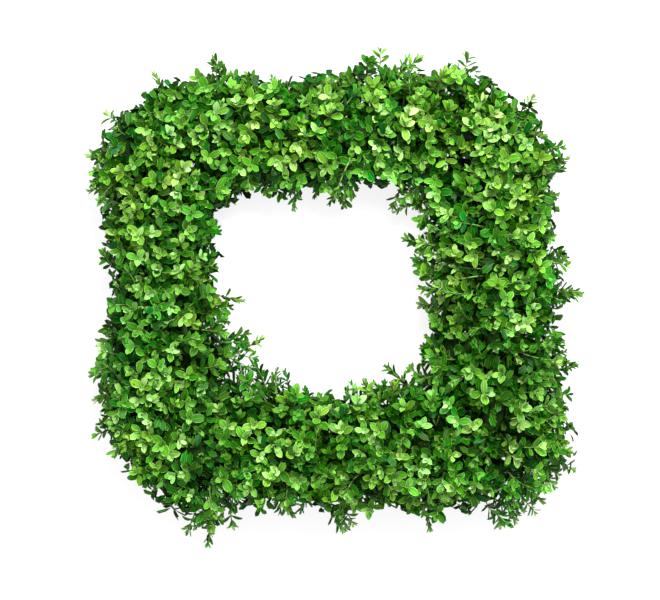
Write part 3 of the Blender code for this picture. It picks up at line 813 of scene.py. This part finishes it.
def grow_leaves(habit, arcs, shoots, draw):
    """All leaves of many shoots, as arrays with a row for each leaf: base, forward, face, length,
    width, fold, curl, youth, tone and hue. A shoot has a row of vigour, slimness, light, tone, hue."""
    starts, ends, bows = (array[:, None] for array in arcs)
    vigour, slim, light, tone, hue = (column[:, None] for column in shoots.T)
    pair = np.repeat(np.arange(len(habit["gaps"])), 2)
    reach = np.linalg.norm(arcs[1] - arcs[0], axis=1)[:, None]
    t = np.clip(1 - habit["gaps"] / reach, LOWEST_PAIR, 1)[:, pair]
    base = bend(starts, ends, bows, t)
    forward, face = leaf_directions(habit["angles"], arc_axis(starts, ends, bows, t), draw)
    length = habit["lengths"][pair] * vigour * draw.uniform(*LEAF_LENGTHS, t.shape)
    width = length * slim * draw.uniform(*LEAF_WIDTHS, t.shape)
    # Painted light: a leaf's youth is scaled by its shoot's light, and its tone falls down the shoot as
    # painted shade.
    youth_and_light = np.clip(habit["youth_and_light"][pair] * light + draw.normal(0, YOUTH_SPREAD, t.shape), 0, 1)
    fold, curl = draw.uniform(*FOLDS, t.shape), draw.uniform(*CURLS, t.shape)
    tone = habit["tones"][pair] * tone * draw.uniform(*LEAF_TONES, t.shape)
    hue = hue + draw.normal(0, LEAF_HUES, t.shape)
    rows = (base, forward, face, length, width, fold, curl, youth_and_light, tone, hue)
    return [array.reshape(-1, *array.shape[2:]) for array in rows]


print("a leaf is", SLIM, "to", BROAD, "of its length wide")

# %% [markdown]
# Each shoot has a look of its own. The more a twig faces the sky, the likelier it is a rosette, the more
# vigour it has and the more painted light it gets, which makes its leaves paler. Painted light and shade
# also come in patches of a hand's width, and every bunch, shoot and leaf has a slight tone and hue of its
# own; a bunch's tone is partly painted light and shade over the whole bunch.

# %% The look of each shoot
# The chance of a spray on a level twig, and how much of it a twig that faces the sky loses.
SPRAY_CHANCE, SPRAY_SKY = 0.85, 0.6
# Vigour on a level twig, what the sky adds, and the range of chance; then the same for the painted
# light, with what a spray loses and a patch adds.
VIGOUR, VIGOUR_SKY, VIGOURS = 0.85, 0.17, (0.85, 1.12)
LIGHT, LIGHT_SKY, LIGHT_SPRAY, LIGHT_PATCH = 0.32, 0.55, 0.1, 0.3
LIGHT_SPREAD, LIGHTS = 0.15, (0.1, 1.05)
PATCH, PATCH_WAVES = 110 * MM, 4
BUNCH_TONES = (0.8, 1.2)
SAME_HUE = 0.5
BUNCH_HUES, SHOOT_HUES = 0.006, 0.008

skyward = np.clip(TIP_ARMS[:, 2], 0, 1)
IS_SPRAY = draw.random(len(TIPS)) < SPRAY_CHANCE - SPRAY_SKY * skyward ** 2
# The tone of each bunch and the patches are partly painted light and shade.
bunch_tone_and_light = draw.uniform(*BUNCH_TONES, len(BUNCHES))[TIP_OWNER]
painted_light_patch = wander(TIPS, 2 * math.pi / PATCH, PATCH_WAVES, draw)
bunch_hue = draw.normal(0, BUNCH_HUES, len(BUNCHES))[TIP_OWNER]
stray = np.where(IS_SPRAY, SPRAY_STRAY, ROSETTE_STRAY)
length = SHOOT_LENGTH * draw.uniform(*SHOOT_LENGTHS, len(TIPS))
ARCS = shoot_arcs(TIPS, TIP_ARMS, stray, length, draw)
vigour = (VIGOUR + VIGOUR_SKY * skyward) * draw.uniform(*VIGOURS, len(TIPS))
slim = np.where(IS_SPRAY, SLIM, SLIM + (BROAD - SLIM) * skyward)
# A shoot's light is painted light, and over a dark gap its tone is painted shade.
light = LIGHT + LIGHT_SKY * skyward - LIGHT_SPRAY * IS_SPRAY + LIGHT_PATCH * painted_light_patch
light = np.clip(light + draw.normal(0, LIGHT_SPREAD, len(TIPS)), *LIGHTS)
tone = bunch_tone_and_light * np.where(near_gap(TIPS), GAP_PAINTED_SHADE, 1)
hue = SAME_HUE + bunch_hue + draw.normal(0, SHOOT_HUES, len(TIPS))
SHOOTS = np.column_stack((vigour, slim, light, tone, hue))
print(IS_SPRAY.sum(), "sprays and", (~IS_SPRAY).sum(), "rosettes")

# %% [markdown]
# A bushy outline has bays and knobs. The tables below say how far the foliage reaches from the centre
# line, outwards and into the hole, at equal steps round it, in mm as seen from above. They weren't
# chosen by eye: a separate program measured them on the photograph's outline. Shoots are moved level
# until their furthest leaves reach that far. Nought stands for a corner of the hole, where the centre
# line's bend leaves nothing to measure.

# %% How far the foliage reaches
REACH_OUT = np.array((
    85, 79, 79, 91, 83, 79, 62, 64, 97, 80, 78, 85, 66, 69, 60, 65, 72, 62, 85, 71, 64, 61, 64, 78,
    66, 63, 71, 70, 73, 84, 79, 69, 58, 59, 63, 54, 60, 62, 63, 64, 69, 82, 71, 59, 63, 58, 48, 79,
    80, 72, 63, 62, 64, 65, 55, 51, 51, 48, 59, 61, 66, 71, 70, 77, 65, 72, 73, 68, 64, 63, 73, 90,
    89, 91, 52, 64, 62, 74, 77, 64, 57, 70, 88, 69, 69, 60, 63, 69, 75, 76, 64, 75, 100, 104, 99, 87)) * MM
REACH_IN = np.array((
    61, 76, 86, 86, 85, 77, 72, 78, 75, 85, 86, 92, 89, 78, 86, 83, 76, 0, 0, 0, 0, 0, 0, 0,
    70, 83, 84, 87, 53, 64, 76, 83, 85, 72, 56, 79, 77, 71, 60, 66, 73, 69, 0, 0, 0, 0, 0, 0,
    62, 76, 60, 66, 68, 61, 61, 58, 60, 85, 82, 80, 109, 84, 99, 80, 75, 0, 0, 0, 0, 0, 0, 0,
    69, 83, 98, 100, 91, 93, 78, 69, 67, 57, 79, 76, 73, 78, 82, 80, 83, 69, 0, 0, 0, 0, 0, 0)) * MM
REACH_TRIM = 0.1 * MM
MOST_MOVE = 12 * MM
FURTHEST_LEAVES = 7
MOVE_ROUNDS = 2
DEEP_GAP = 15 * MM


def nearest_station(nearest):
    """Number of the step of the tables that a point of the centre line belongs to."""
    places, _, _ = loop_points((np.arange(len(REACH_OUT)) + 0.5) / len(REACH_OUT))
    return ((nearest[:, None] - places) ** 2).sum(axis=2).argmin(axis=1)


def meet_outline(tips, leaf_ends):
    """Level moves for the tips: what the furthest leaf ends of a tip's station lack, times the square
    of the tip's own share of the reach."""
    nearest, _, far = from_line(seen_flat(leaf_ends))
    station = nearest_station(nearest)
    tip_nearest, away, tip_far = from_line(seen_flat(tips))
    tip_station = nearest_station(tip_nearest)
    moves = np.zeros_like(tips)
    for side, reach in ((1, REACH_OUT), (-1, REACH_IN)):
        ordered = [np.sort(side * far[station == k]) for k in range(len(reach))]
        furthest = np.array([distances[-FURTHEST_LEAVES:].mean() for distances in ordered])
        lack = np.clip(np.where(reach > 0, reach + REACH_TRIM - furthest, 0), -MOST_MOVE, MOST_MOVE)
        share = np.clip(side * tip_far / np.maximum(reach, REACH_OUT.min())[tip_station], 0, 1) ** 2
        moves[:, :2] += away * (side * lack[tip_station] * share)[:, None]
    return moves


def grow_all(arcs):
    """The leaves of all rosettes and of all sprays, those far down their shoots apart because they may
    be plainer, each with the numbers of their shoots."""
    own_draw = np.random.default_rng(SEED + 1)
    grown = []
    for habit, chosen in ((ROSETTE, ~IS_SPRAY), (SPRAY, IS_SPRAY)):
        rows = grow_leaves(habit, [array[chosen] for array in arcs], SHOOTS[chosen], own_draw)
        shoots = np.repeat(np.flatnonzero(chosen), 2 * len(habit["gaps"]))
        deep = np.tile(np.repeat(habit["gaps"] > DEEP_GAP, 2), chosen.sum())
        grown.append((habit["stations"], [array[~deep] for array in rows], shoots[~deep]))
        grown.append((PLAIN_STATIONS, [array[deep] for array in rows], shoots[deep]))
    return grown


for _ in range(MOVE_ROUNDS):
    ends = np.concatenate([rows[0] + rows[1] * rows[3][:, None] for _, rows, _ in grow_all(ARCS)])
    moves = meet_outline(ARCS[1], ends)
    ARCS = (ARCS[0], ARCS[1] + moves, ARCS[2])
    print("shoots moved by up to", round(np.linalg.norm(moves, axis=1).max() / MM, 1), "mm")

# %% [markdown]
# A few shoots stray well out of the mass, thin, with slim leaves. Each is placed where the photographed
# wreath has one, except the one with the shortest shoot, which covers a bare heart. A row holds the place
# of the tip, the direction that the shoot points in and its length, then 1 for a spray or 0 for a rosette.

# %% Stray sprigs
STRAY_ROWS = np.array((
    (54, 267, 60, 90, 34, 0), (85, 262, 50, 62, 40, 1), (97, 262, 46, 40, 36, 1),
    (152, 263, 50, 80, 34, 0), (-131, 259, 44, 95, 32, 0), (-199, 244, 40, 118, 32, 1),
    (-252, 200, 40, 140, 34, 0), (-271, 154, 36, 175, 34, 1), (-271, 115, 34, 185, 34, 1),
    (-268, -93, 34, 178, 32, 0), (-266, -121, 30, 190, 32, 1), (278, -3, 40, 2, 34, 1),
    (274, -82, 36, -12, 34, 1), (264, 150, 40, 20, 34, 1), (226, 218, 40, 48, 34, 1),
    (-139, -283, 36, -96, 36, 1), (-162, -268, 30, -112, 34, 0), (15, -266, 34, -88, 32, 0),
    (111, -266, 34, -84, 32, 1), (189, -261, 36, -80, 34, 0), (206, -256, 34, -66, 34, 1),
    (-43, 96, 36, -95, 34, 1), (15, 99, 34, -88, 32, 0), (-103, -9, 34, -12, 34, 1),
    (-80, -54, 34, 28, 36, 1), (63, -86, 34, 142, 42, 1), (40, -105, 30, 168, 42, 1),
    (84, 60, 34, 165, 32, 1), (74, 92, 30, 205, 32, 1), (-112, -263, 34, -80, 32, 0),
    (228, -247, 32, -50, 32, 0), (-238, 180, 62, 150, 26, 0), (70, 97, 34, -110, 30, 0),
    (80, 104, 40, -130, 30, 0), (271, -199, 34, -25, 32, 0), (24, -260, 38, -60, 30, 0),
    (-265, -160, 34, 195, 32, 0), (-98, -58, 34, 20, 30, 0), (103, -14, 36, 182, 32, 0)), float)
STRAY_RISES = (0.1, 0.5)
STRAY_BOWS = (-0.5, 1)
# Ranges of vigour, painted light and tone.
STRAY_LOOKS = ((0.8, 1.0), (0.4, 1.0), (0.8, 1.1))


def stray_arcs(draw):
    """Arcs of the stray sprigs from their table of x, y, z in mm, heading in degrees and length in mm."""
    tips = STRAY_ROWS[:, :3] * MM
    turn = np.radians(STRAY_ROWS[:, 3])
    rise = draw.uniform(*STRAY_RISES, len(turn))
    heading = unit(np.column_stack((np.cos(turn), np.sin(turn), rise)))
    starts = foot(tips, heading, STRAY_ROWS[:, 4] * MM)
    return starts, tips, UP * SHOOT_BOW * draw.uniform(*STRAY_BOWS, (len(tips), 1))


strays = stray_arcs(draw)
nearest_tip = np.linalg.norm(ARCS[1] - strays[1][:, None], axis=2).argmin(axis=1)
vigour, light, tone = (draw.uniform(*limits, len(STRAY_ROWS)) for limits in STRAY_LOOKS)
slim, hue = np.full(len(STRAY_ROWS), SLIM), SHOOTS[nearest_tip, 4]
ARCS = tuple(np.concatenate(pair) for pair in zip(ARCS, strays))
SHOOTS = np.concatenate((SHOOTS, np.column_stack((vigour, slim, light, tone, hue))))
IS_SPRAY = np.append(IS_SPRAY, STRAY_ROWS[:, 5] > 0)
OWNER = np.append(TIP_OWNER, TIP_OWNER[nearest_tip])
LEAVES = grow_all(ARCS)
print(sum(len(rows[0]) for _, rows, _ in LEAVES), "leaves on", len(OWNER), "shoots")

# %% [markdown]
# Deep in a bunch are twigs too dense to tell apart. They are one ruffled ball, the heart, with the same
# middle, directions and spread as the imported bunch, worked out from its volume.

# %% Hearts of the bunches
HEART_SHARE = 0.82
HEART_RINGS = 12
HEART_SIDES = 18
HEART_RUFFLE = 0.24
RUFFLE_FINENESS, RUFFLE_WAVES = 4, 6
FLOOR_CLEAR = 0.4 * MM


def spread_of(name):
    """Middle and principal half sizes of a solid ball with the node's volume moments: each triangle
    makes a tetrahedron with the origin, whose moment is volume / 20 (S S' + a a' + b b' + c c')."""
    points, triangles = node_mesh(name)
    a, b, c = (points[triangles[:, k]] for k in range(3))
    volume = np.einsum("ij,ij->i", a, np.cross(b, c)) / 6
    whole = volume.sum()
    total = a + b + c
    middle = (volume[:, None] * total).sum(axis=0) / (4 * whole)
    moment = sum(np.einsum("i,ij,ik->jk", volume, p, p) for p in (total, a, b, c)) / (20 * whole)
    spreads, axes = np.linalg.eigh(moment - np.outer(middle, middle))
    return middle, np.sqrt(5 * spreads), axes * np.sign(np.linalg.det(axes))


def heart_surface(spread, draw):
    """A ruffled ball: middle + axes (half sizes (sin a cos b, sin a sin b, cos a)) (1 + noise), with a
    point at each pole."""
    middle, sizes, axes = spread
    polar = math.pi * np.arange(1, HEART_RINGS) / HEART_RINGS
    a, b = np.meshgrid(polar, 2 * math.pi * np.arange(HEART_SIDES) / HEART_SIDES, indexing="ij")
    ball = np.stack((np.sin(a) * np.cos(b), np.sin(a) * np.sin(b), np.cos(a)), axis=-1)
    ball = np.vstack((ball.reshape(-1, 3), UP, -UP))
    swell = 1 + HEART_RUFFLE * wander(ball, RUFFLE_FINENESS, RUFFLE_WAVES, draw)
    points = middle + (ball * sizes * HEART_SHARE * swell[:, None]) @ axes.T
    points[:, 2] = np.maximum(points[:, 2], FLOOR_CLEAR)
    side = np.arange(HEART_SIDES)
    following = (side + 1) % HEART_SIDES
    last = (HEART_RINGS - 2) * HEART_SIDES
    top = np.column_stack((np.full(HEART_SIDES, len(points) - 2), side, following))
    bottom = np.column_stack((np.full(HEART_SIDES, len(points) - 1), last + following, last + side))
    quads = tube_quads(HEART_RINGS - 1, HEART_SIDES, closed=False)[:, ::-1]
    return points, [quads, np.concatenate((top, bottom))]


print("hearts of", (HEART_RINGS - 1) * HEART_SIDES + 2, "points each")

# %% [markdown]
# The oldest leaves, dark with age and with painted shade, lie on the heart like shingles, so that no bare
# ball shows between the shoots, and leaves painted darkest, as painted shade, fill the band along the
# hoop from which the bunches spring.

# %% Old leaves
OLD_LEAVES = 170
OLD_SHARES = (0.8, 1.25)
OLD_LIFTS = (0.1, 0.9)
OLD_LENGTH, OLD_LENGTHS, OLD_WIDTH = 16 * MM, (0.75, 1.1), 0.52
# Low youth and tone: the old leaves' age together with painted shade.
OLD_YOUTHS_AND_LIGHT, OLD_TONES, OLD_HUES = (0, 0.3), (0.4, 1.0), 0.012
INNER_LEAVES = 1800
INNER_BAND = (-62 * MM, 48 * MM)
INNER_HEIGHTS = (8 * MM, 34 * MM)
INNER_TILT = 0.5
# The innermost leaves get the lowest youth and tone, as painted shade.
INNER_YOUTHS_AND_LIGHT, INNER_SHADE_TONES = (0, 0.1), (0.3, 0.7)


def plain_leaves(base, forward, face, youths_and_light, tones, draw):
    """Rows like grow_leaves gives, for old leaves at given places, with their ranges of youth and painted
    light, and of tone.
    """
    count = len(base)
    length = OLD_LENGTH * draw.uniform(*OLD_LENGTHS, count)
    fold, curl = draw.uniform(*FOLDS, count), draw.uniform(*CURLS, count)
    youth_and_light, tone = draw.uniform(*youths_and_light, count), draw.uniform(*tones, count)
    hue = SAME_HUE + draw.normal(0, OLD_HUES, count)
    return [base, forward, face, length, length * OLD_WIDTH, fold, curl, youth_and_light, tone, hue]


def old_leaves(spread, draw):
    """Leaves on the heart and a little out of it, facing outwards."""
    middle, sizes, axes = spread
    ball = unit(draw.normal(0, 1, (OLD_LEAVES, 3)))
    base = middle + (ball * sizes * draw.uniform(*OLD_SHARES, (OLD_LEAVES, 1))) @ axes.T
    out = unit((ball / sizes) @ axes.T)
    lie = unit(np.cross(out, draw.normal(0, 1, out.shape)))
    lift = draw.uniform(*OLD_LIFTS, (OLD_LEAVES, 1))
    forward, face = unit(lie + out * lift), unit(out - lie * lift)
    return plain_leaves(base, forward, face, OLD_YOUTHS_AND_LIGHT, OLD_TONES, draw)


def inner_leaves(draw):
    """The leaves painted darkest, as painted shade, in a band along the hoop between the bunches: rows,
    and their bunches.
    """
    places, _, out = loop_points(draw.random(INNER_LEAVES))
    level = places + out * draw.uniform(*INNER_BAND, (INNER_LEAVES, 1))
    base = np.column_stack((level, draw.uniform(*INNER_HEIGHTS, INNER_LEAVES)))
    face = unit(UP + draw.normal(0, INNER_TILT, base.shape))
    forward = unit(np.cross(face, draw.normal(0, 1, base.shape)))
    middles = np.array([spread_of(name)[0] for name in BUNCHES])
    owner = np.linalg.norm(middles - base[:, None], axis=2).argmin(axis=1)
    return plain_leaves(base, forward, face, INNER_YOUTHS_AND_LIGHT, INNER_SHADE_TONES, draw), owner


INNERMOST, INNER_OWNER = inner_leaves(draw)
print(OLD_LEAVES, "old leaves on each heart,", len(INNER_OWNER), "innermost leaves in all")

# %% [markdown]
# Young boxwood stems have four edges, so a stem is a square carried along its arc, thinner towards
# the tip. It is rooted in the heart, so that no loose end shows, and ends under the last pair of leaves.

# %% Stems
STEM_STEPS = 7
STEM_RADIUS = 0.95 * MM
STEM_TAPER = 0.3
STEM_GUIDE = np.array((0.31, 0.52, 0.79))
ROOT_SHARE = 0.6


def stem_surfaces(starts, ends, bows, middle):
    """Centre + radius (1 - taper t) (first cos turn + second sin turn), with first and second square
    to the arc. The root lies a share of the way from the arc's start to the heart's middle."""
    arcs = [array[:, None] for array in (starts, ends, bows)]
    t = np.append(0, np.linspace(0, 1, STEM_STEPS - 1))[None]
    centre = bend(*arcs, t)
    centre[:, 0] += ROOT_SHARE * (middle - starts)
    axis = arc_axis(*arcs, t)
    first = unit(np.cross(axis, STEM_GUIDE))
    second = np.cross(axis, first)
    turn = math.pi / 2 * np.arange(4)
    spokes = first[:, :, None] * np.cos(turn)[:, None] + second[:, :, None] * np.sin(turn)[:, None]
    radius = STEM_RADIUS * (1 - STEM_TAPER * t)[..., None, None]
    return (centre[:, :, None] + spokes * radius).reshape(len(starts), -1, 3)


STEM_ENDS = np.array(((3, 2, 1, 0), 4 * STEM_STEPS - 4 + np.arange(4)))
STEM_FACES = np.concatenate((tube_quads(STEM_STEPS, 4, closed=False), STEM_ENDS))
print(len(STEM_FACES), "faces in a stem")

# %% [markdown]
# Not every leaf has a place. One that would dip into the floor is lifted a little, and one that would
# need more than that, stand above the wreath or fill a bay is left out. A shoot that loses most of the
# leaves at its tip would be a bare stick, so it goes with them.

# %% Leaves that have a place
FEWEST_LEAVES = 6
MOST_LIFT = 8 * MM
FOLIAGE_TOP = CAD_BOX[1][2] + 9 * MM


def placed_leaves(stations, rows):
    """Leaves' points, lifted clear of the floor, and which of them have a clear place."""
    copies = leaf_surfaces(stations, *rows[:7])
    lift = np.maximum(FLOOR_CLEAR - copies[..., 2].min(axis=1), 0)
    copies[..., 2] += lift[:, None]
    low_enough = copies[..., 2].max(axis=1) < FOLIAGE_TOP
    return copies, (lift < MOST_LIFT) & low_enough & ~in_bay(copies.mean(axis=1))


def leafy_shoots():
    """Which shoots keep most of the leaves at their tips, so that no bare stem is left."""
    kept = np.zeros(len(OWNER), int)
    for stations, rows, shoots in LEAVES:
        if stations is not PLAIN_STATIONS:
            np.add.at(kept, shoots[placed_leaves(stations, rows)[1]], 1)
    return kept >= FEWEST_LEAVES


LEAFY = leafy_shoots()
bare_tips = np.round(ARCS[1][~LEAFY] / MM).astype(int).tolist()
print(len(bare_tips), "shoots have no clear place, at", bare_tips)

# %% [markdown]
# One bunch becomes one mesh: heart, old leaves, stems and leaves. A part is added as an array of
# copies, points of one copy by faces of one copy, with the slot of its material. Rims are marked
# sharp, so that the upper face and the underside are shaded each by itself and a blade looks thin.

# %% A pile of shapes that becomes one mesh
FINISHES = {"upper": LEAF_UPPER, "under": LEAF_UNDER, "twigs": SHADED_TWIG, "stem": GREEN_STEM}
SLOTS = {part: number for number, part in enumerate(FINISHES)}


class Pile:
    """Copies of shapes, gathered as arrays and put into one mesh at the end."""

    def __init__(self):
        self.points, self.corners, self.sizes, self.slots = [], [], [], []
        self.flat, self.rim, self.own = [], [], []
        self.count = 0

    def add(self, copies, face_groups, slots, flat=None, rim=None, own=None):
        """Adds copies (number, points, 3). Each group of faces has one number of corners and a slot.
        flat is a copy's UV map, rim marks its rim points, and own is a row of attributes for each copy."""
        number, size = copies.shape[:2]
        shift = self.count + size * np.arange(number)[:, None, None]
        for faces, slot in zip(face_groups, slots):
            faces = np.asarray(faces)
            self.corners.append((shift + faces).ravel())
            self.sizes.append(np.full(number * len(faces), faces.shape[1]))
            self.slots.append(np.full(number * len(faces), SLOTS[slot]))
        self.points.append(copies.reshape(-1, 3))
        self.flat.append(np.tile(np.zeros((size, 2)) if flat is None else flat, (number, 1)))
        self.rim.append(np.tile(np.zeros(size, bool) if rim is None else rim, number))
        self.own.append(np.zeros((number * size, 3)) if own is None else np.repeat(own, size, axis=0))
        self.count += number * size

    def add_leaves(self, stations, rows):
        """Adds the leaves that have a clear place."""
        copies, clear = placed_leaves(stations, rows)
        along, across, _ = leaf_grid(stations)
        upper, lower = leaf_faces(stations)
        groups = [upper[:4], upper[4:], lower[:4], lower[4:]]
        flat = np.column_stack((along, HALF_WIDTH + np.sign(across) / 2))
        self.add(copies[clear], groups, ("upper", "upper", "under", "under"), flat,
                 (across != 0) | (along % 1 == 0), np.column_stack(rows[7:])[clear])

    def piece(self, name):
        """The mesh, with its materials, UV map, leaf attributes and sharp rims."""
        mesh = bpy.data.meshes.new(name)
        parts = (self.points, self.corners, self.sizes)
        points, corners, sizes = (np.concatenate(part) for part in parts)
        mesh.vertices.add(len(points))
        mesh.vertices.foreach_set("co", points.ravel().astype(np.float32))
        mesh.loops.add(len(corners))
        mesh.loops.foreach_set("vertex_index", corners.astype(np.int32))
        mesh.polygons.add(len(sizes))
        mesh.polygons.foreach_set("loop_start", (np.cumsum(sizes) - sizes).astype(np.int32))
        mesh.update(calc_edges=True)
        for material in FINISHES.values():
            mesh.materials.append(material)
        mesh.polygons.foreach_set("material_index", np.concatenate(self.slots).astype(np.int32))
        flat = np.concatenate(self.flat)[corners]
        mesh.uv_layers.new(name="leaf").data.foreach_set("uv", flat.ravel().astype(np.float32))
        for label, column in zip(LEAF_ATTRIBUTES, np.concatenate(self.own).T):
            values = mesh.attributes.new(label, "FLOAT", "POINT").data
            values.foreach_set("value", column.astype(np.float32))
        ends = np.empty(2 * len(mesh.edges), np.int32)
        mesh.edges.foreach_get("vertices", ends)
        sharp = np.concatenate(self.rim)[ends.reshape(-1, 2)].all(axis=1)
        mesh.shade_smooth()
        mesh.attributes.new("sharp_edge", "BOOLEAN", "EDGE").data.foreach_set("value", sharp)
        piece = bpy.data.objects.new(name, mesh)
        bpy.context.scene.collection.objects.link(piece)
        return piece


print("finishes of the foliage", SLOTS)

# %% [markdown]
# Each packed bunch is replaced by a piece of its own, which takes its heart, the old leaves, and the
# shoots whose tips belong to it.

# %% The foliage
def foliage(number, draw):
    """The finer piece that stands for one packed bunch, and its number of triangles."""
    name = BUNCHES[number]
    spread = spread_of(name)
    pile = Pile()
    points, groups = heart_surface(spread, draw)
    pile.add(points[None], groups, ("twigs", "twigs"))
    pile.add_leaves(PLAIN_STATIONS, old_leaves(spread, draw))
    pile.add_leaves(PLAIN_STATIONS, [array[INNER_OWNER == number] for array in INNERMOST])
    own = (OWNER == number) & LEAFY
    pile.add(stem_surfaces(*(array[own] for array in ARCS), spread[0]), [STEM_FACES], ["stem"])
    for stations, rows, shoots in LEAVES:
        pile.add_leaves(stations, [array[own[shoots]] for array in rows])
    piece = pile.piece(name.replace("bunch", "foliage"))
    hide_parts(name)
    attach(piece, "root")
    return len(piece.data.loops) - 2 * len(piece.data.polygons)


triangles = [foliage(number, draw) for number in range(len(BUNCHES))]
print("foliage", sum(triangles), "triangles,", max(triangles), "in the largest bunch")
